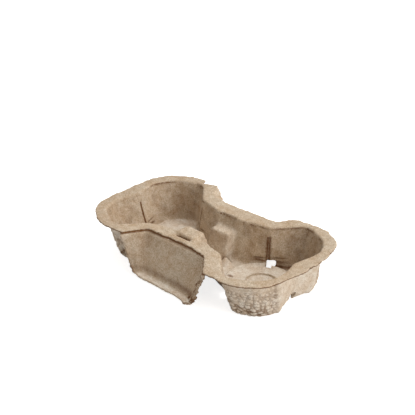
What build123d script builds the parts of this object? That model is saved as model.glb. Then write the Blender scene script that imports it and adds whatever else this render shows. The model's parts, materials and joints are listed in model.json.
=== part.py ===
"""Two-cup carrier, moulded in one piece from paper pulp.

The whole carrier is one skin of even thickness. A flat rim runs round two cup pockets that open
into each other at the waist. Each long side has a half tub cut open along the trimming line. All
walls lean, so that the sheet leaves its mould and carriers stack in each other.

Origin on the table under the middle of the carrier, X along its length, Z up, millimetres.
"""
from build123d import *
from math import sqrt
import os

os.makedirs("parts", exist_ok=True)

# Overall sizes of the carrier
length = 220.0  # rim end to rim end
width = 129.0  # between the two trimmed long sides
height = 40.0  # table to the top of the rim
wall = 2.0  # thickness of the pulp everywhere

half_length = length / 2
half_width = width / 2
rim_floor = height - wall
through = 4 * wall  # enough to pass through a leaning wall


def full_round(corners, across=half_width, along=half_length):
    """Corners all the way round, from the shares of the first quarter: x, y and radius."""
    quarter = [(x * along, y * across, r * across) for x, y, r in corners]
    upper = quarter + [(-x, y, r) for x, y, r in reversed(quarter) if x > 0]
    return upper + [(-x, -y, r) for x, y, r in upper if y > 0]


def rounded_face(corners):
    """A closed face with each corner rounded by its own radius."""
    FilletPolyline(*[(x, y) for x, y, _ in corners], radius=[r for _, _, r in corners], close=True)


# Every round between a wall and a floor or the rim is two straight bands. Each row is one end of a
# band, as shares of the radius: how far up from the floor, and how far in from the wall.
band_shares = ((1, 0), (1 - sqrt(0.5), 1 - sqrt(0.5)), (0, 1))


def wall_levels(floor, floor_round, mouth_round):
    """Each level of a leaning wall, from the rim down, and how far it stands out there."""
    mouth = [(height - rise * mouth_round, out * mouth_round) for rise, out in band_shares]
    foot = [(floor + rise * floor_round, -inset * floor_round) for rise, inset in band_shares]
    return mouth[::-1] + foot if mouth_round > 0 else [(height, 0)] + foot


# Rim: the outline that is punched out of the sheet. Its ends are blunt and its corners are cut off.
rim_corner_shares = ((1.0, 0.47, 0.62), (0.927, 0.77, 0.40), (0.727, 1.0, 0.46))

with BuildPart() as rim:
    with BuildSketch(Plane.XY.offset(rim_floor)):
        with BuildLine():
            rounded_face(full_round(rim_corner_shares))
        make_face()
    extrude(amount=wall)

# Pockets: the mouth at the rim and the floor, as one outline for both pockets and the channel.
# In order: nose of the end wall, three corners of the lobe, nose of the side wall, waist.
mouth_shares = (
    (0.863, 0.0, 0.14),
    (0.920, 0.385, 0.28),
    (0.845, 0.685, 0.28),
    (0.590, 0.905, 0.16),
    (0.373, 0.500, 0.07),
    (0.127, 0.395, 0.30),
)
floor_shares = (
    (0.775, 0.0, 0.14),
    (0.825, 0.372, 0.265),
    (0.764, 0.620, 0.265),
    (0.582, 0.766, 0.155),
    (0.395, 0.427, 0.07),
    (0.127, 0.248, 0.30),
)
floor_inner_round = 3.0  # between floor and walls, inside
floor_outer_round = floor_inner_round + wall
mouth_round = 1.2  # between the walls and the top of the rim


def pocket_corners(level):
    """Corner shares of the walls at a level, on straight lines from the mouth to the floor."""
    sunk = (height - level) / rim_floor
    return [
        tuple(high + (low - high) * sunk for high, low in zip(mouth_corner, floor_corner))
        for mouth_corner, floor_corner in zip(mouth_shares, floor_shares)
    ]


def pocket_body(skin, floor_round, mouth_round=0):
    """The hollow of the pockets, or with a skin the body that is left when its hollow is cut out."""
    with BuildPart() as body:
        for level, out in wall_levels(wall - skin, floor_round, mouth_round):
            with BuildSketch(Plane.XY.offset(level)):
                with BuildLine():
                    rounded_face(full_round(pocket_corners(level)))
                make_face()
                if skin + out != 0:
                    offset(amount=skin + out)
        loft(ruled=True)
    return body.part


pocket_skin = pocket_body(wall, floor_outer_round)
pocket_hollow = pocket_body(0, floor_inner_round, mouth_round)

# Half tubs: one on each long side, cut open along the trimming line. Their floor is the lip.
tub_mouth_depth = 21.5  # from the trimming line in to the wall, at the rim
tub_lip_depth = 10.5  # the same at the lip
tub_mouth_width = 77.0  # between the two corners of the wall, at the rim
tub_lip_width = 57.0
tub_flare = 0.57  # how far the ends spread for each millimetre outwards
tub_mouth_round = 9.0
tub_lip_round = 7.0
tub_floor_round = 4.0
tub_rise = 2.0  # table to the underside of the lip
overrun = 12.0  # how far a cutting body reaches past what it cuts


def tub_body(skin, floor_round):
    """The hollow of the half tub on the far side, reaching out past the trimming line."""
    lip = tub_rise + wall
    with BuildPart() as body:
        for level, out in wall_levels(lip - skin, floor_round, 0):
            sunk = (height - level) / (height - lip)
            depth = tub_mouth_depth + (tub_lip_depth - tub_mouth_depth) * sunk
            across = tub_mouth_width + (tub_lip_width - tub_mouth_width) * sunk
            corner = tub_mouth_round + (tub_lip_round - tub_mouth_round) * sunk
            inner = half_width - depth
            outer = half_width + overrun
            half_across = across / 2
            half_mouth = half_across + tub_flare * (outer - inner)
            with BuildSketch(Plane.XY.offset(level)):
                with BuildLine():
                    wall_line = FilletPolyline(
                        (half_mouth, outer),
                        (half_across, inner),
                        (-half_across, inner),
                        (-half_mouth, outer),
                        radius=corner,
                    )
                    Line(wall_line @ 1, wall_line @ 0)
                make_face()
                if skin + out != 0:
                    offset(amount=skin + out, kind=Kind.INTERSECTION)
        loft(ruled=True)
    return body.part


tub_skin = tub_body(wall, tub_floor_round + wall)
tub_hollow = tub_body(0, tub_floor_round)

# Cup seats: a raised round step in each pocket with a shallow dish, on the axis of the cup.
cup_axis_share = 0.509
cup_axis = cup_axis_share * half_length
seat_radius = 30.0
seat_rise = 4.0  # over the floor of the lobes, which are the feet
dish_radius = 14.0
dish_depth = 1.8

# Lugs at the waist, which keep stacked carriers apart. Both have the same leaning face. The near
# one rises over the rim as a pad with a groove behind it, the far one ends as a ledge lower down.
lug_shift = -2.5  # both sit a little to the left
lug_width = 23.0
lug_foot = 6.5  # from the middle of the channel out to the face, at the table
lug_lean = 0.25  # how far the face leans out for each millimetre up
lug_round = 1.4
ledge_drop = 12.0  # rim down to the ledge
pad_rise = 2.0  # over the rim
pad_reach = 32.0  # from the middle of the channel out to the groove
alcove_depth = 1.8  # how far the wall over the ledge is set back
groove_width = 3.0
groove_depth = 3.0
groove_length = 18.0

waist_mouth = mouth_shares[-1][1] * half_width
waist_floor = floor_shares[-1][1] * half_width


def waist_wall(level):
    """Inner face of the wall at the waist, from the middle of the channel."""
    return waist_floor + (waist_mouth - waist_floor) * (level - wall) / rim_floor


def lug_face(level):
    return lug_foot + lug_lean * level


def waist_prism(profile, across, top_round=0):
    """A body with its outline in the end view. The top is rounded in front and at both ends."""
    with BuildPart() as body:
        with BuildSketch(Plane.YZ.offset(lug_shift)):
            with BuildLine():
                Polyline(*profile, close=True)
            make_face()
        extrude(amount=across / 2, both=True)
        if top_round > 0:
            fillet(body.faces().sort_by(Axis.Z)[-1].edges().sort_by(Axis.Y)[:-1], radius=top_round)
    return body.part


def lug_solid(top, top_round=0):
    """A lug before it is hollowed, from its face back to the middle of the wall."""
    return waist_prism(
        (
            (lug_face(0), 0),
            (lug_face(top), top),
            (waist_wall(top) + wall / 2, top),
            (waist_wall(0) + wall / 2, 0),
        ),
        lug_width,
        top_round,
    )


def lug_hollow(top):
    """The underside of a lug, open below and towards the tub."""
    ceiling = top - wall
    return waist_prism(
        (
            (lug_face(-overrun) + wall, -overrun),
            (lug_face(ceiling) + wall, ceiling),
            (pad_reach - wall, ceiling),
            (pad_reach - wall, -overrun),
        ),
        lug_width - 2 * wall,
    )


ledge = height - ledge_drop
pad_top = height + pad_rise
ledge_lug = lug_solid(ledge, lug_round)
ledge_hollow = lug_hollow(ledge)
pad_lug = lug_solid(rim_floor).mirror(Plane.XZ)
pad_hollow = lug_hollow(pad_top).mirror(Plane.XZ)
pad = waist_prism(
    (
        (lug_face(rim_floor), rim_floor),
        (lug_face(pad_top), pad_top),
        (pad_reach, pad_top),
        (pad_reach, rim_floor),
    ),
    lug_width,
    lug_round,
).mirror(Plane.XZ)
alcove_skin = waist_prism(
    (
        (0, ledge - wall),
        (waist_wall(ledge - wall) + alcove_depth + wall, ledge - wall),
        (waist_wall(height) + alcove_depth + wall, height),
        (0, height),
    ),
    lug_width,
)
alcove = waist_prism(
    (
        (0, ledge),
        (waist_wall(ledge) + alcove_depth, ledge),
        (waist_wall(height + wall) + alcove_depth, height + wall),
        (0, height + wall),
    ),
    lug_width - 2 * wall,
)

# Slits: each cup touches the walls at three noses. Each nose is slit from under the rim down to a
# hole in its foot, and a cut along the seat frees both halves of the wall to give as springs.
slit_width = 1.0
slit_drop = 8.0  # rim down to the upper end
crease_radius = 1.3  # the soft mouth of the slit, along the inner face
hole_width = 8.0
hole_top = 8.0
hole_inset = 5.5  # from the edge of the seat in under the cup
hole_shift = 3.0  # how far the holes of the side walls sit off the slit, towards the lobe
cut_height = 1.4
cut_reach = 13.0  # along the wall, to each side of the nose


def corner_point(shares, index, level):
    x, y, _ = shares[index]
    return Vector(x * half_length, y * half_width, level)


def nose_cutter(index, shift):
    """Everything that is cut away at one nose: slit, crease, hole and the two cuts at its foot."""
    top = corner_point(mouth_shares, index, height)
    foot = corner_point(floor_shares, index, wall)
    slit_top = foot + (top - foot) * ((rim_floor - slit_drop) / rim_floor)
    seat_top = wall + seat_rise
    axis = Vector(cup_axis, 0, 0)
    outward = Vector(foot.X - axis.X, foot.Y, 0).normalized()
    across = Vector(-outward.Y, outward.X, 0)
    sides = [corner_point(floor_shares, (index + step) % len(floor_shares), wall) for step in (-1, 1)]
    if index == 0:
        sides[0] = Vector(sides[1].X, -sides[1].Y, wall)
    radial = Plane(origin=axis + outward * (seat_radius - hole_inset), x_dir=outward, z_dir=(0, 0, 1))
    reach = hole_inset + through
    with BuildPart() as cutter:
        with BuildSketch(radial):
            with Locations((0, shift)):
                Rectangle(reach, hole_width, align=(Align.MIN, Align.CENTER))
        extrude(amount=hole_top)
        with BuildSketch(radial.offset(hole_top)):
            Rectangle(reach + through, slit_width, align=(Align.MIN, Align.CENTER))
        extrude(amount=slit_top.Z - hole_top)
        with BuildSketch(Plane(origin=foot, z_dir=slit_top - foot)):
            Circle(crease_radius)
        extrude(amount=(slit_top - foot).length)
        with BuildSketch(Plane.XY.offset(seat_top)):
            with BuildLine():
                Polyline(*[foot + (side - foot).normalized() * cut_reach * turn for side, turn in
                           ((sides[0], 1), (sides[0], 0), (sides[1], 1))])
            trace(line_width=through)
        extrude(amount=cut_height)
    return cutter.part


end_cutter = nose_cutter(0, 0)
side_cutter = nose_cutter(4, -hole_shift)
cutters = [end_cutter, side_cutter, side_cutter.mirror(Plane.XZ)]
cutters += [cutter.mirror(Plane.YZ) for cutter in cutters]

with BuildPart() as cup_carrier:
    add([rim.part, pocket_skin, tub_skin, tub_skin.mirror(Plane.XZ)])
    split(bisect_by=Plane.XZ.offset(half_width), keep=Keep.BOTTOM)
    split(bisect_by=Plane.XZ.offset(-half_width), keep=Keep.TOP)
    add(alcove_skin)
    add([pocket_hollow, tub_hollow, tub_hollow.mirror(Plane.XZ), alcove], mode=Mode.SUBTRACT)
    with BuildSketch(Plane.XY.offset(rim_floor - groove_depth)):
        with Locations((lug_shift, -pad_reach - groove_width / 2)):
            Rectangle(groove_length + 2 * wall, groove_width + 2 * wall)
    extrude(amount=groove_depth)
    add([ledge_lug, pad_lug, pad])
    add([ledge_hollow, pad_hollow], mode=Mode.SUBTRACT)
    with BuildSketch(Plane.XY.offset(height - groove_depth)):
        with Locations((lug_shift, -pad_reach - groove_width / 2)):
            SlotOverall(groove_length, groove_width)
    extrude(amount=groove_depth, mode=Mode.SUBTRACT)
    for side in (1, -1):
        centre = side * cup_axis
        with BuildSketch(Plane.XY):
            with Locations((centre, 0)):
                Circle(seat_radius)
        extrude(amount=wall + seat_rise)
        with BuildSketch(Plane.XY):
            with Locations((centre, 0)):
                Circle(seat_radius - wall)
                Circle(dish_radius + wall, mode=Mode.SUBTRACT)
        extrude(amount=seat_rise, mode=Mode.SUBTRACT)
        with BuildSketch(Plane.XY):
            with Locations((centre, 0)):
                Circle(dish_radius + wall)
        extrude(amount=seat_rise - dish_depth, mode=Mode.SUBTRACT)
        with BuildSketch(Plane.XY.offset(wall + seat_rise)):
            with Locations((centre, 0)):
                Circle(dish_radius)
        extrude(amount=-dish_depth, mode=Mode.SUBTRACT)
    add(cutters, mode=Mode.SUBTRACT)

cup_carrier.part.label = "cup_carrier"
export_step(cup_carrier.part, "parts/cup_carrier.step")
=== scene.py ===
import json
from math import radians

import bpy
import numpy as np
from mathutils import Matrix, Vector, noise


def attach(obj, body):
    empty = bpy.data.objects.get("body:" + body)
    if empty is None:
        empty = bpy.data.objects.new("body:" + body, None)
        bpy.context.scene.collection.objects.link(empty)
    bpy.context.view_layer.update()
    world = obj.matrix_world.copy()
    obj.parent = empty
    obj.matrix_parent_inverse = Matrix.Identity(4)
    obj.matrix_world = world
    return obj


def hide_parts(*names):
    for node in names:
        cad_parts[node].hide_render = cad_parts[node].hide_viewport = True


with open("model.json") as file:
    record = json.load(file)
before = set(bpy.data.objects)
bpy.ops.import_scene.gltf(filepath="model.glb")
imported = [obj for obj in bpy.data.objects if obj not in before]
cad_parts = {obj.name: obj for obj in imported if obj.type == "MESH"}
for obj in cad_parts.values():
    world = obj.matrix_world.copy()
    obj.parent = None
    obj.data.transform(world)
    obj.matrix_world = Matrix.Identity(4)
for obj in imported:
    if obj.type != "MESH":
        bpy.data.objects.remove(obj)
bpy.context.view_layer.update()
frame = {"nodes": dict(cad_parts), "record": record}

# Moulded pulp sheet: the whole carrier. Waste paper is pulped and sucked on to a wire form, so the
# sheet has soft corners, uneven thickness and lumps of fibre, and stands a little out of true.
# Here -Y is the near long side, and a pair in brackets is the two limits of a ramp or a fade.
mm = 0.001
remesh_grain = 0.7 * mm  # just fine enough for the slits, which it bridges here and there
most_triangles = 190000
table_level, rim_level = 0.0, 40 * mm
mounts = {mount["name"]: mount for mount in frame["record"]["mounts"]}
cup_axis = mounts["cup_seat_right"]["pos_m"][0]


def copy_of_node(name, piece_name):
    """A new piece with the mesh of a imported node, which itself stays as it is."""
    piece = frame["nodes"][name].copy()
    piece.data = piece.data.copy()
    piece.name = piece_name
    piece.parent = None
    piece.matrix_world = Matrix.Identity(4)
    bpy.context.collection.objects.link(piece)
    return piece


def apply_modifier(piece, kind, **settings):
    modifier = piece.modifiers.new(kind.lower(), kind)
    for setting, value in settings.items():
        setattr(modifier, setting, value)
    bpy.context.view_layer.objects.active = piece
    bpy.ops.object.modifier_apply(modifier=modifier.name)


def vertex_places(mesh):
    places = np.empty(len(mesh.vertices) * 3)
    mesh.vertices.foreach_get("co", places)
    return places.reshape(-1, 3)


def vertex_normals(mesh):
    normals = np.empty(len(mesh.vertices) * 3)
    mesh.vertex_normals.foreach_get("vector", normals)
    return normals.reshape(-1, 3)


def lumps(places, size, seed, octaves=2):
    """Smooth lumps from about -1 to 1, with the lump size in metres."""
    octave_fade, octave_ratio = 0.6, 2.1  # each octave is finer by the ratio, and fainter by its power
    shift = Vector((seed * 7.3, seed * 3.1, seed * 5.7))  # so that each seed gives another pattern
    return np.array([noise.fractal(Vector(p) / size + shift, octave_fade, octave_ratio, octaves)
                     for p in places])


def ramp(values, start, full):
    """0 before start, 1 after full, with a soft change between them."""
    share = np.clip((values - start) / (full - start), 0, 1)
    return share * share * (3 - 2 * share)


def fade(values, full, end):
    """1 before full, 0 after end, with a soft change between them."""
    return ramp(-values, -end, -full)


def band(values, middle, reach):
    """1 at the middle value, falling softly to 0 at the reach on both sides."""
    return fade(np.abs(values - middle), 0, reach)


sheet = copy_of_node("cup_carrier", "pulp_sheet")
apply_modifier(sheet, "REMESH", mode="VOXEL", voxel_size=remesh_grain)
apply_modifier(sheet, "SMOOTH", factor=0.5, iterations=2)

# The lugs and the pad at the waist are pressed deepest, so the form leaves them softest.
lug_middle, lug_reach = -2.5 * mm, 19 * mm
pad_near, pad_far, pad_bottom = -37 * mm, 2 * mm, 34.5 * mm
ledge_near, ledge_far, ledge_top = 5 * mm, 30 * mm, 37 * mm

x, y, z = vertex_places(sheet.data).T
at_lugs = np.abs(x - lug_middle) < lug_reach
on_pad = at_lugs & (y > pad_near) & (y < pad_far) & (z > pad_bottom)
on_ledge = at_lugs & (y > ledge_near) & (y < ledge_far) & (z < ledge_top)
soft_group = sheet.vertex_groups.new(name="soft")
soft_group.add(np.nonzero(on_pad | on_ledge)[0].tolist(), 1.0, "REPLACE")
apply_modifier(sheet, "SMOOTH", factor=0.5, iterations=60, vertex_group="soft")

# From here the points are moved by adding to moves, and darkened by adding to the darkness share, which is
# mostly painted shade, with dark fibre in the torn edges.
axis_blur = 1 * mm  # nearer to a cup's axis than this, the way outward fades out

places = vertex_places(sheet.data)
normals = vertex_normals(sheet.data)
x, y, z = places.T
off_x, off_y = np.abs(x), np.abs(y)  # away from the middle, towards the ends and the long sides
from_axis = np.stack([x - np.sign(x) * cup_axis, y], axis=1)
away = from_axis / np.maximum(np.linalg.norm(from_axis, axis=1), axis_blur)[:, None]
outward = (normals[:, :2] * away).sum(axis=1)  # above 0 on the outer side of the pockets
inward = -outward
lean = np.linalg.norm(normals[:, :2], axis=1)  # 0 where the sheet lies flat, 1 where it stands up
sideways = np.abs(normals[:, 1])  # 1 where the sheet faces a long side
around = np.degrees(np.arctan2(off_y, off_x - cup_axis))  # degrees round each cup, from the end wall
moves = np.zeros_like(places)
painted_shade_and_dark_fibre = np.zeros(len(places))  # mostly painted shade in folds, slits, gaps and under edges, with dark fibre in torn edges

# The whole sheet: long waves, dents of a thumb's width, and lumps of fibre.
wave_height, wave_size = 0.5 * mm, 45 * mm
dent_depth, dent_size = 0.38 * mm, 13 * mm
lump_depth, lump_size = 0.14 * mm, 3.2 * mm

moves += normals * (dent_depth * lumps(places, dent_size, seed=2))[:, None]
moves += normals * (lump_depth * lumps(places, lump_size, seed=3, octaves=3))[:, None]
moves[:, 2] += wave_height * lumps(places, wave_size, seed=1) * (z - table_level) / (rim_level - table_level)

# Rim edge: punched with blunt tools, so it is ragged and waves up and down. The lower part of the cut
# face gets painted shadow, as under the flange's edge, and so does a broken line under the far side of the
# mouth.
rag_depth, rag_size, most_rag = 1.5 * mm, 8.0 * mm, 0.7 * mm
nick_depth, nick_size = 1.1 * mm, 3.0 * mm
near_rag, more_far_rag, rag_growth_y = 0.5, 0.6, (-30 * mm, 20 * mm)
curl_height, curl_size = 0.45 * mm, 17 * mm
flange_z, edge_lean, edge_outward = (36.8 * mm, 37.6 * mm), (0.15, 0.5), (0.1, 0.3)
punched_z, punched_top_z = (37.2 * mm, 37.6 * mm), (38.9 * mm, 39.5 * mm)
punched_lean, punched_outward = (0.3, 0.6), (0.0, 0.3)
far_tub_x, far_tub_y = (52 * mm, 56 * mm), (44 * mm, 48 * mm)
line_level, line_reach, line_inward, line_y = 37.9 * mm, 0.9 * mm, (0.2, 0.5), (8 * mm, 20 * mm)
line_size, line_breaks = 12 * mm, (-0.45, -0.05)

on_flange = ramp(z, *flange_z)
on_edge = on_flange * ramp(lean, *edge_lean) * ramp(outward, *edge_outward)
rag = rag_depth * lumps(places, rag_size, seed=4) + nick_depth * lumps(places, nick_size, seed=5)
rag = np.minimum(rag, most_rag) * (near_rag + more_far_rag * ramp(y, *rag_growth_y))
moves[:, :2] += normals[:, :2] * (rag * on_edge)[:, None]
moves[:, 2] += curl_height * lumps(places, curl_size, seed=6) * on_flange
edge_painted_shadow = ramp(lean, *punched_lean) * ramp(outward, *punched_outward) * ramp(z, *punched_z)
at_far_tub = ramp(y, *far_tub_y) * fade(off_x, *far_tub_x)
painted_shade_and_dark_fibre += edge_painted_shadow * fade(z, *punched_top_z) * (1 - at_far_tub)
under_mouth = band(z, line_level, line_reach) * ramp(inward, *line_inward) * ramp(y, *line_y)
painted_shade_and_dark_fibre += under_mouth * ramp(lumps(places, line_size, seed=12), *line_breaks)

# Far trimming line: how far the flange is cut back there, from left to right along the sheet. It has a
# notch on the left, and a spike on the right, where the depth is under 0.
trim_places = np.array((-71, -67, -65.5, -54, -52, 44.5, 46.8, 48, 58, 72, 84)) * mm
trim_depths = np.array((0.0, 0.6, 6.5, 1.0, 0.0, 0.0, -1.8, 3.0, 4.0, 2.0, 0.0)) * mm
trim_y = (56.5 * mm, 64.5 * mm)

moves[:, 1] -= np.interp(x, trim_places, trim_depths) * ramp(y, *trim_y) * on_flange

# As it dried, the near edge drew in over the half tub, beside it on the right, and at the right end.
over_tub_places = np.array((-60, -50, -30, -12, 12, 24, 32)) * mm
over_tub_in = np.array((0, 2.5, 1.0, 2.8, 2.4, 0.3, 0)) * mm
over_tub_y = (-39 * mm, -33 * mm)
beside_tub_in, beside_tub_place, beside_tub_reach = 5.0 * mm, 39 * mm, 14 * mm
beside_tub_y = (-44 * mm, -38 * mm)
right_end_in, right_end_place, right_end_reach = 3.0 * mm, -28 * mm, 22 * mm
right_end_x = (98 * mm, 105 * mm)

moves[:, 1] += np.interp(x, over_tub_places, over_tub_in) * on_flange * fade(y, *over_tub_y)
beside_tub = band(x, beside_tub_place, beside_tub_reach) * fade(y, *beside_tub_y)
at_right_end = band(y, right_end_place, right_end_reach) * ramp(x, *right_end_x)
moves[:, 0] -= (beside_tub_in * beside_tub + right_end_in * at_right_end) * on_flange

# The lower walls lean towards the right: the feet there spread most, and the near lip's corner is bent.
right_lean, left_lean, corner_bend = 5.5 * mm, 2.0 * mm, np.array((3.5, -3.0)) * mm
low_z = (0.0, 36 * mm)
right_wall_x, left_wall_x = (62 * mm, 80 * mm), (-80 * mm, -60 * mm)
right_feet_x, right_feet_y = (44 * mm, 50 * mm), (30 * mm, 37 * mm)
corner_start_x, corner_end_x, corner_y = (12 * mm, 34 * mm), (42 * mm, 48 * mm), (-50 * mm, -40 * mm)

low = fade(z, *low_z)
spread = np.maximum(ramp(x, *right_wall_x), ramp(x, *right_feet_x) * ramp(off_y, *right_feet_y))
moves[:, 0] += (right_lean * spread + left_lean * fade(x, *left_wall_x)) * low
at_corner = ramp(x, *corner_start_x) * fade(x, *corner_end_x) * fade(y, *corner_y) * low
moves[:, :2] += corner_bend * at_corner[:, None]

# Cut edges of the half tubs: torn rather than sliced, with dark fibre in the tears. The near right
# end wall is torn most.
tear_depth, tear_size, open_tears = 0.9 * mm, 3.2 * mm, (0.05, 0.35)
cut_y, cut_z, cut_lean, cut_dark = (60.5 * mm, 63.2 * mm), (36 * mm, 38 * mm), (0.4, 0.8), 0.15
torn_start_x, torn_end_x, torn_y = (24 * mm, 29 * mm), (48 * mm, 52 * mm), (-56 * mm, -52 * mm)
torn_z, torn_lean, torn_dark, torn_deeper = (35 * mm, 37 * mm), (0.4, 0.7), 0.8, 1.6

tears = lumps(places, tear_size, seed=7, octaves=3)
on_cut = ramp(off_y, *cut_y) * fade(z, *cut_z) * ramp(lean, *cut_lean)
torn_wall = ramp(x, *torn_start_x) * fade(x, *torn_end_x) * fade(y, *torn_y)
torn_wall *= fade(z, *torn_z) * ramp(lean, *torn_lean)
moves[:, :2] += normals[:, :2] * (tear_depth * tears * (on_cut + torn_deeper * torn_wall))[:, None]
painted_shade_and_dark_fibre += np.maximum(cut_dark * on_cut, torn_dark * torn_wall) * ramp(tears, *open_tears)

# Half tubs: the wall folds outwards over each lip. The fold gets painted shade, more of it to the right,
# and so, more faintly, do the wall above it and the near left end wall.
fold_level, fold_reach, fold_out = 8.5 * mm, 4.5 * mm, 4.5 * mm
fold_painted_shade, more_painted_shade_right, more_dark_x = 0.45, 0.25, (-10 * mm, 30 * mm)
tub_x, tub_y, tub_sideways = (40 * mm, 48 * mm), (36 * mm, 40 * mm), (0.3, 0.6)
tub_top_z = (35 * mm, 38 * mm)
wall_painted_shade, wall_z = 0.12, (8 * mm, 14 * mm)
end_wall_painted_shade, end_wall_start_x, end_wall_end_x = 0.2, (-34 * mm, -28 * mm), (48 * mm, 54 * mm)
end_wall_y = (-44 * mm, -40 * mm)
bent_x, bent_z = (44 * mm, 52 * mm), (8 * mm, 34 * mm)
bent_start_y, bent_end_y = (40 * mm, 46 * mm), (54 * mm, 64 * mm)

in_tub = fade(off_x, *tub_x) * ramp(off_y, *tub_y) * ramp(sideways, *tub_sideways)
on_end_wall = fade(x, *end_wall_start_x) * fade(off_x, *end_wall_end_x) * fade(y, *end_wall_y)
below_rim = fade(z, *tub_top_z)
fold_shade = fold_painted_shade + more_painted_shade_right * ramp(x, *more_dark_x)
painted_shade_and_dark_fibre += fold_shade * band(z, fold_level, fold_reach) * in_tub
painted_shade_and_dark_fibre += end_wall_painted_shade * on_end_wall * below_rim
painted_shade_and_dark_fibre += wall_painted_shade * in_tub * ramp(z, *wall_z) * below_rim
bent = fade(z, *bent_z) * ramp(off_y, *bent_start_y) * fade(off_x, *bent_x) * fade(off_y, *bent_end_y)
moves[:, 1] += np.sign(y) * fold_out * bent

# Feet: the deepest draw of the mould, where the sheet crumpled into small pits, with painted shade in the
# folds round them, more of it low down.
pit_width, pit_height, pit_depth = 5.0 * mm, 3.2 * mm, 1.1 * mm
foot_outward, foot_sideways, foot_around = (0.0, 0.25), (0.12, 0.35), (27, 32)
foot_x, foot_y, foot_z = (44 * mm, 50 * mm), (18 * mm, 30 * mm), (20 * mm, 34 * mm)
faintest = 0.02  # under this share of their depth, pits are left out
crumple_size, crumple_limits = 7 * mm, (-0.95, -0.35)
pit_from_middle, fold_from_edge, fold_depth_share = (0.3, 0.9), (0.05, 0.26), 0.8  # in cells of the pattern
foot_fold_painted_shade, more_painted_shade_low, more_dark_z = 0.5, 0.35, (6 * mm, 18 * mm)

on_foot = ramp(outward, *foot_outward) * fade(z, *foot_z) * ramp(off_y, *foot_y)
on_foot *= ramp(off_x, *foot_x) * ramp(sideways, *foot_sideways) * ramp(around, *foot_around)
from_middle, from_edge = np.zeros(len(places)), np.ones(len(places))
for index in np.nonzero(on_foot > faintest)[0]:
    in_cells = Vector((x[index] / pit_width, y[index] / pit_width, z[index] / pit_height))
    nearest, second = noise.voronoi(in_cells)[0][:2]
    from_middle[index] = nearest
    from_edge[index] = second - nearest
crumpled = on_foot * ramp(lumps(places, crumple_size, seed=8), *crumple_limits)
pits = ramp(from_middle, *pit_from_middle) * crumpled
folds = fade(from_edge, *fold_from_edge) * crumpled
moves -= normals * (pit_depth * np.maximum(pits, fold_depth_share * folds))[:, None]
painted_shade_and_dark_fibre += (foot_fold_painted_shade + more_painted_shade_low * fade(z, *more_dark_z)) * folds

# Ridge down the wall between each foot and the end wall, with painted shade in a fold on the side of the
# foot.
ridge_angle, ridge_reach, ridge_height = 31, 6, 1.3 * mm  # the angles in degrees round the cup
ridge_outward, ridge_z = (0.2, 0.5), (33 * mm, 37 * mm)
ridge_fold_angle, ridge_fold_reach, ridge_fold_painted_shade = ridge_angle + 4, 2.5, 0.45
ridge_fold_size, ridge_fold_breaks = 4 * mm, (-0.5, 0.1)

on_wall = ramp(outward, *ridge_outward) * fade(z, *ridge_z)
moves += normals * (ridge_height * band(around, ridge_angle, ridge_reach) * on_wall)[:, None]
ridge_fold = band(around, ridge_fold_angle, ridge_fold_reach) * on_wall
painted_shade_and_dark_fibre += ridge_fold_painted_shade * ridge_fold * ramp(lumps(places, ridge_fold_size, seed=13), *ridge_fold_breaks)

# Slits in the noses of the walls: the two lips of a slit spring shut until they almost touch, and the
# sheet is creased on both sides of the hole below, which has closed in a little from one end. Painted
# shade darkens the slits, the creases and the gaps along the foot of the wall beside each hole.
wall_foot, wall_reach, hole_reach = 2 * mm, 4 * mm, 7 * mm
slit_foot_z, slit_top_z, slit_inward = (7 * mm, 9 * mm), (30 * mm, 31 * mm), (-0.3, 0.0)
pinch, pinch_reach = 0.8 * mm, (0.5 * mm, 4.0 * mm)
slit_dark_reach = (1.2 * mm, 1.9 * mm)
gaping_lip, gaping_lip_reach, gaping_middle, gaping_pale = 1.8 * mm, 1.1 * mm, (0.9 * mm, 1.3 * mm), 0.5
crease_level, crease_depth, crease_reach, crease_slope = 10.2 * mm, 0.6 * mm, 15 * mm, 0.08
crease_width, crease_painted_shade, crease_inward = 1.1 * mm, 0.6, (0.1, 0.4)
crease_start, crease_end = (1.5 * mm, 4 * mm), (11 * mm, 15 * mm)
gap_level, gap_width, gap_painted_shadow, gap_inward = 7.4 * mm, 1.9 * mm, 0.9, (-0.2, 0.3)
gap_start, gap_end = (1.5 * mm, 3.0 * mm), (9 * mm, 16 * mm)
hole_edge, hole_edge_reach, hole_edge_in, hole_z = 8.5 * mm, 5 * mm, 3.0 * mm, (9 * mm, 13 * mm)
noses = [((85.3, 0.0), (94.9, 0.0)), ((43.4, 27.5), (41.0, 32.3)), ((43.4, -27.5), (41.0, -32.3))]
noses += [((-foot[0], foot[1]), (-top[0], top[1])) for foot, top in noses]  # as (foot, top) in millimetres

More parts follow.
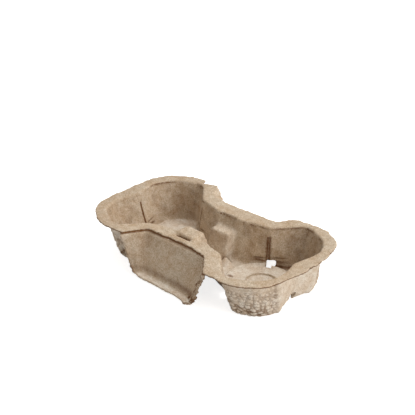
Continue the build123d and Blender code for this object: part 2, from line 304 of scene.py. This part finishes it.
for foot, top in noses:
    foot, top = np.array(foot) * mm, np.array(top) * mm
    rise = (z - wall_foot) / (rim_level - wall_foot)
    from_nose = places[:, :2] - foot - (top - foot) * rise[:, None]
    out = foot - np.array([np.sign(foot[0]) * cup_axis, 0])
    out /= np.linalg.norm(out)
    across = np.array([-out[1], out[0]])
    along, through = from_nose @ across, np.abs(from_nose @ out)
    beside = np.abs(along)
    hand = np.sign(foot[0] * foot[1])  # 0 at the end walls, whose holes keep their width

    at_slit = (through < wall_reach) * ramp(z, *slit_foot_z) * fade(z, *slit_top_z)
    moves[:, :2] -= (np.sign(along) * pinch * fade(beside, *pinch_reach) * at_slit)[:, None] * across
    slit_painted_shade = fade(beside, *slit_dark_reach)
    if foot[0] > 0 and foot[1] > 0:  # the far right slit gapes, with painted shade down each lip and less in the middle
        slit_painted_shade = np.maximum(slit_painted_shade, band(beside, gaping_lip, gaping_lip_reach))
        slit_painted_shade *= 1 - gaping_pale * fade(beside, *gaping_middle)
    painted_shade_and_dark_fibre += at_slit * slit_painted_shade * ramp(inward, *slit_inward)

    crease = band(z + crease_slope * along, crease_level, crease_width) * ramp(inward, *crease_inward)
    crease *= ramp(beside, *crease_start) * fade(beside, *crease_end)
    crease *= np.hypot(*from_nose.T) < crease_reach
    moves -= normals * (crease_depth * crease)[:, None]
    painted_shade_and_dark_fibre += crease_painted_shade * crease

    gap = band(z, gap_level, gap_width) * ramp(beside, *gap_start) * fade(beside, *gap_end)
    painted_shade_and_dark_fibre += gap_painted_shadow * gap * (through < hole_reach) * ramp(inward, *gap_inward)

    at_hole_edge = band(hand * along, -hole_edge, hole_edge_reach) * fade(z, *hole_z) * (through < hole_reach)
    moves[:, :2] += (hand * hole_edge_in * at_hole_edge)[:, None] * across

# A knob of pulp on the floor of the channel, with painted shadow in a fold beside it, and a dark spot at
# the near side of the right seat.
knob_place, knob_reach, knob_height = np.array((12.3, 5.8, 2.0)) * mm, 7.0 * mm, 6.5 * mm
knob_fold, knob_fold_reach, knob_painted_shadow, knob_fold_side = 5.5 * mm, 3.2 * mm, 0.75, (1 * mm, 5 * mm)
seat_spot_place, seat_spot_reach = np.array((33.0, -11.8, 6.0)) * mm, (1.0 * mm, 2.0 * mm)
seat_spot_stretch, seat_spot_dark = (0.6, 1, 1), 0.9

from_knob = places - knob_place
to_knob = np.linalg.norm(from_knob, axis=1)
moves[:, 2] += knob_height * fade(to_knob, 0, knob_reach)
beside_knob = ramp(from_knob[:, 1] - from_knob[:, 0], *knob_fold_side)
painted_shade_and_dark_fibre += knob_painted_shadow * band(to_knob, knob_fold, knob_fold_reach) * beside_knob
to_seat_spot = np.linalg.norm((places - seat_spot_place) * seat_spot_stretch, axis=1)
painted_shade_and_dark_fibre += seat_spot_dark * fade(to_seat_spot, *seat_spot_reach)

# The right seat lies a little to the right of its pocket, and the floor of the far right pocket lies in
# the shade beside it.
seat_shift, seat_reach, seat_z = 3.5 * mm, (18 * mm, 28 * mm), (8 * mm, 10 * mm)
shade_z, shade_flat, shade_reach, shade_dark = (4.2 * mm, 5.4 * mm), (0.2, 0.5), (29 * mm, 31 * mm), 0.7
shade_start_x, shade_end_x, shade_y = (38 * mm, 44 * mm), (54 * mm, 62 * mm), (10 * mm, 20 * mm)

moves[:, 0] += seat_shift * fade(np.hypot(x - cup_axis, y), *seat_reach) * fade(z, *seat_z)
in_shade = fade(z, *shade_z) * ramp(normals[:, 2], *shade_flat) * ramp(np.hypot(*from_axis.T), *shade_reach)
in_shade *= ramp(x, *shade_start_x) * fade(x, *shade_end_x) * ramp(y, *shade_y)
painted_shade_and_dark_fibre += shade_dark * in_shade

# Wrinkles under the rim, in patches, where the sheet had to draw in round the corners of the pockets, with
# painted shade in their folds.
wrinkle_depth, wrinkle_size, wrinkle_stretch = 0.75 * mm, 4.5 * mm, (1, 1, 0.6)
wrinkled_z, wrinkled_inward, wrinkle_painted_shade, wrinkle_folds = (28 * mm, 35 * mm), (0.2, 0.6), 0.3, (0.2, 0.6)
wrinkled_size, wrinkled_limits = 20 * mm, (-0.1, 0.4)

wrinkled = ramp(z, *wrinkled_z) * ramp(inward, *wrinkled_inward)
wrinkled *= ramp(lumps(places, wrinkled_size, seed=9), *wrinkled_limits)
wrinkles = lumps(places * wrinkle_stretch, wrinkle_size, seed=10)
moves += normals * (wrinkle_depth * wrinkles * wrinkled)[:, None]
painted_shade_and_dark_fibre += wrinkle_painted_shade * wrinkled * ramp(-wrinkles, *wrinkle_folds)

# Tone: inside the pockets the walls carry painted shade in random patches, part mottling of the fibre and
# part shade of the pockets, with more painted shade at the far right of the right pocket, and the left end is
# darker. The outside of the pockets, the seats, the lips and the far lug carry painted light.
inside_z, inside_lean, inside_inward = (36 * mm, 39 * mm), (0.3, 0.6), (0.1, 0.5)
patch_size, patch_limits, inside_mottle_and_shade = 9 * mm, (-0.2, 0.6), 0.22
far_right_x, far_right_y, far_right_painted_shade = (44 * mm, 56 * mm), (15 * mm, 25 * mm), 0.14
left_x, left_dark = (-75 * mm, -40 * mm), 0.13
outside_x, outside_z, outside_outward = (44 * mm, 52 * mm), (36 * mm, 38 * mm), (0.0, 0.4)
lip_y, lip_z, lip_lean = (56 * mm, 59 * mm), (6 * mm, 9 * mm), (0.3, 0.6)
lug_x, lug_z, lug_painted_light = (12 * mm, 16 * mm), (28 * mm, 31 * mm), 0.5
lug_start_y, lug_end_y = (4 * mm, 8 * mm), (22 * mm, 28 * mm)
floor_z, floor_lean = (7 * mm, 11 * mm), (0.3, 0.7)

inside = ramp(inward, *inside_inward) * fade(z, *inside_z) * ramp(lean, *inside_lean)
painted_shade_and_dark_fibre += inside_mottle_and_shade * inside * ramp(lumps(places, patch_size, seed=11), *patch_limits)
painted_shade_and_dark_fibre += far_right_painted_shade * inside * ramp(x, *far_right_x) * ramp(y, *far_right_y)
painted_shade_and_dark_fibre += left_dark * fade(x, *left_x)
outside = ramp(off_x, *outside_x) * ramp(outward, *outside_outward) * fade(z, *outside_z)
on_lip = fade(z, *lip_z) * fade(lean, *lip_lean) * ramp(off_y, *lip_y)
on_lug = fade(np.abs(x - lug_middle), *lug_x) * ramp(y, *lug_start_y) * fade(y, *lug_end_y) * fade(z, *lug_z)
on_floor = fade(z, *floor_z) * fade(lean, *floor_lean)
painted_light = np.max([outside, on_lip, lug_painted_light * on_lug, on_floor], axis=0)

sheet.data.vertices.foreach_set("co", (places + moves).ravel())
for name, values in (("painted_shade_and_dark_fibre", np.clip(painted_shade_and_dark_fibre, 0, 1)), ("painted_light", painted_light)):
    sheet.data.attributes.new(name, "FLOAT", "POINT").data.foreach_set("value", values)
sheet.data.update()
triangles = 2 * len(sheet.data.polygons)
if triangles > most_triangles:
    apply_modifier(sheet, "DECIMATE", ratio=most_triangles / triangles)
sheet.data.shade_smooth()
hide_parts("cup_carrier")
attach(sheet, "root")


def colour(hex_value):
    """Linear colour from an sRGB hex value."""
    parts = [int(hex_value[i:i + 2], 16) / 255 for i in (1, 3, 5)]
    return [c / 12.92 if c <= 0.04045 else ((c + 0.055) / 1.055) ** 2.4 for c in parts] + [1.0]


def add_node(material, kind, links=(), values=(), **settings):
    """Adds a node with its settings, input values and links from (input, node, output)."""
    node = material.node_tree.nodes.new(kind)
    for setting, value in settings.items():
        setattr(node, setting, value)
    for name, value in values:
        node.inputs[name].default_value = value
    for name, source, output in links:
        material.node_tree.links.new(source.outputs[output], node.inputs[name])
    return node


def set_ramp(node, *stops):
    """Stops of a colour ramp, as (place, hex colour) from the first to the last."""
    elements = node.color_ramp.elements
    while len(elements) < len(stops):
        elements.new(0.5)
    for element, (position, hex_value) in zip(elements, stops):
        element.position = position
        element.color = colour(hex_value)


# Grey-brown pulp, moulded from waste paper: matt, with pale fibres and dark specks of old print. The tone is
# paler with painted light, and browner with painted shade in the folds and with the dark fibre of torn edges.
# The fibres are 0.5 to 2 mm long.
fibre_size = 0.9 * mm
mottle_size = 5 * mm
blotch_size = 18 * mm
speck_spacing = 2.6 * mm
tooth_depth = 0.22 * mm
shade_and_fibre_brown = "#8C6C50"

pulp = bpy.data.materials.new("moulded_waste_paper_pulp")
pulp.use_nodes = True
pulp.node_tree.nodes.clear()
place = add_node(pulp, "ShaderNodeTexCoord")
fibre = add_node(pulp, "ShaderNodeTexNoise", [("Vector", place, "Object")],
                 [("Scale", 1 / fibre_size), ("Detail", 3.0), ("Roughness", 0.6)])
mottle = add_node(pulp, "ShaderNodeTexNoise", [("Vector", place, "Object")],
                  [("Scale", 1 / mottle_size), ("Detail", 2.0), ("Roughness", 0.6)])
blotch = add_node(pulp, "ShaderNodeTexNoise", [("Vector", place, "Object")],
                  [("Scale", 1 / blotch_size), ("Detail", 2.0), ("Roughness", 0.5)])
speck = add_node(pulp, "ShaderNodeTexVoronoi", [("Vector", place, "Object")], [("Scale", 1 / speck_spacing)])
fibre_colour = add_node(pulp, "ShaderNodeValToRGB", [("Fac", fibre, "Fac")])
set_ramp(fibre_colour, (0.30, "#AE9D85"), (0.50, "#D1C1AB"), (0.70, "#EADFD0"))
# The paler colour where light is painted on.
painted_light_colour = add_node(pulp, "ShaderNodeValToRGB", [("Fac", fibre, "Fac")])
set_ramp(painted_light_colour, (0.30, "#C8BAA6"), (0.50, "#EAE1D3"), (0.70, "#F9F4EC"))
mottle_colour = add_node(pulp, "ShaderNodeValToRGB", [("Fac", mottle, "Fac")])
set_ramp(mottle_colour, (0.35, "#EEE7DF"), (0.65, "#FFFFFF"))
blotch_colour = add_node(pulp, "ShaderNodeValToRGB", [("Fac", blotch, "Fac")])
set_ramp(blotch_colour, (0.35, "#F6EFE8"), (0.65, "#FFFFFF"))
speck_colour = add_node(pulp, "ShaderNodeValToRGB", [("Fac", speck, "Distance")])
set_ramp(speck_colour, (0.08, "#D2C4B3"), (0.18, "#FFFFFF"))
painted_light_share = add_node(pulp, "ShaderNodeAttribute", attribute_name="painted_light")
shade_and_fibre_share = add_node(pulp, "ShaderNodeAttribute", attribute_name="painted_shade_and_dark_fibre")
tone = add_node(pulp, "ShaderNodeMixRGB", [("Fac", painted_light_share, "Fac"), ("Color1", fibre_colour, "Color"),
                                           ("Color2", painted_light_colour, "Color")])
for layer in (mottle_colour, blotch_colour, speck_colour):
    tone = add_node(pulp, "ShaderNodeMixRGB", [("Color1", tone, "Color"), ("Color2", layer, "Color")],
                    [("Fac", 1.0)], blend_type="MULTIPLY")
# Painted shade, with the dark fibre of torn edges, turns the tone towards brown.
tone = add_node(pulp, "ShaderNodeMixRGB", [("Color1", tone, "Color"), ("Fac", shade_and_fibre_share, "Fac")],
                [("Color2", colour(shade_and_fibre_brown))], blend_type="MULTIPLY")
tooth = add_node(pulp, "ShaderNodeBump", [("Height", fibre, "Fac")],
                 [("Strength", 0.5), ("Distance", tooth_depth)])
surface = add_node(pulp, "ShaderNodeBsdfPrincipled",
                   [("Base Color", tone, "Color"), ("Normal", tooth, "Normal")],
                   [("Roughness", 0.95), ("Specular IOR Level", 0.15)])
add_node(pulp, "ShaderNodeOutputMaterial", [("Surface", surface, "BSDF")])
sheet.data.materials.clear()
sheet.data.materials.append(pulp)

# White table: a plain matt sheet of studio paper under the carrier. It glows for the camera and for
# reflections alone, so that it runs into the white backdrop and still keeps the carrier's soft shadow.
table_reach = 1.5
table_glow = 0.80
table_white = "#E6E6E6"

bpy.ops.mesh.primitive_plane_add(size=2 * table_reach, location=(0, 0, table_level))
table = bpy.context.object
table.name = "studio_table"
paper = bpy.data.materials.new("matt_white_studio_paper")
paper.use_nodes = True
paper.node_tree.nodes.clear()
ray = add_node(paper, "ShaderNodeLightPath")
mirrored = add_node(paper, "ShaderNodeMath", [(0, ray, "Is Camera Ray"), (1, ray, "Is Glossy Ray")],
                    operation="ADD")
seen = add_node(paper, "ShaderNodeMath", [(0, mirrored, "Value"), (1, ray, "Is Transmission Ray")],
                operation="ADD")
glow_strength = add_node(paper, "ShaderNodeMath", [(0, seen, "Value")], [(1, table_glow)],
                         operation="MULTIPLY")
glow = add_node(paper, "ShaderNodeEmission", [("Strength", glow_strength, "Value")])
matt = add_node(paper, "ShaderNodeBsdfDiffuse", [], [("Color", colour(table_white))])
both = add_node(paper, "ShaderNodeAddShader", [(0, glow, "Emission"), (1, matt, "BSDF")])
add_node(paper, "ShaderNodeOutputMaterial", [("Surface", both, "Shader")])
table.data.materials.append(paper)

# White backdrop and fill light: a warm white room all round, which the camera sees as pure white
# and which lights the pulp evenly at a little under half the full level.
fill_level = 0.44
fill_white, seen_white = "#FFFAF4", "#FFFFFF"

room = bpy.data.worlds.new("white_studio_room")
room.use_nodes = True
room.node_tree.nodes.clear()
ray = add_node(room, "ShaderNodeLightPath")
mirrored = add_node(room, "ShaderNodeMath", [(0, ray, "Is Camera Ray"), (1, ray, "Is Glossy Ray")],
                    operation="ADD")
seen = add_node(room, "ShaderNodeMath", [(0, mirrored, "Value"), (1, ray, "Is Transmission Ray")],
                operation="ADD", use_clamp=True)
level = add_node(room, "ShaderNodeMapRange", [("Value", seen, "Value")],
                 [("To Min", fill_level), ("To Max", 1.0)])
white = add_node(room, "ShaderNodeMixRGB", [("Fac", seen, "Value")],
                 [("Color1", colour(fill_white)), ("Color2", colour(seen_white))])
backdrop = add_node(room, "ShaderNodeBackground", [("Color", white, "Color"), ("Strength", level, "Result")])
add_node(room, "ShaderNodeOutputWorld", [("Surface", backdrop, "Background")])
bpy.context.scene.world = room

# Lamps: a wide softbox low on the right, which makes that end of the carrier as bright as its rim,
# and one overhead, a little to the back, which reaches the seats at the bottom of the pockets.
softbox_width = 0.7  # radians, as the carrier sees it
# Each has its strength, and the way to it from the carrier.
softboxes = {"side_softbox": (1.3, (1.0, 0.12, 0.4)), "top_softbox": (1.4, (0.08, 0.40, 1.0))}

for name, (strength, direction) in softboxes.items():
    lamp = bpy.data.lights.new(name, "SUN")
    lamp.energy = strength
    lamp.angle = softbox_width
    holder = bpy.data.objects.new(name, lamp)
    holder.rotation_euler = Vector(direction).to_track_quat("Z", "Y").to_euler()
    bpy.context.collection.objects.link(holder)

# Camera: a long lens to the right of the near long side, looking down into the pockets.
photo_side = 415  # pixels
focal_in_pixels = 924.0
film_width = 36.0  # millimetres
camera_place = Vector((495.6, -535.3, 430.9)) * mm
camera_azimuth = radians(43.07)
camera_tilt = radians(27.10)

lens = bpy.data.cameras.new("photo_lens")
lens.sensor_width = film_width
lens.lens = focal_in_pixels / photo_side * lens.sensor_width
camera = bpy.data.objects.new("photo_camera", lens)
camera.location = camera_place
camera.rotation_euler = (radians(90) - camera_tilt, 0, camera_azimuth)
bpy.context.collection.objects.link(camera)
bpy.context.scene.camera = camera
bpy.context.scene.view_settings.view_transform = "Standard"
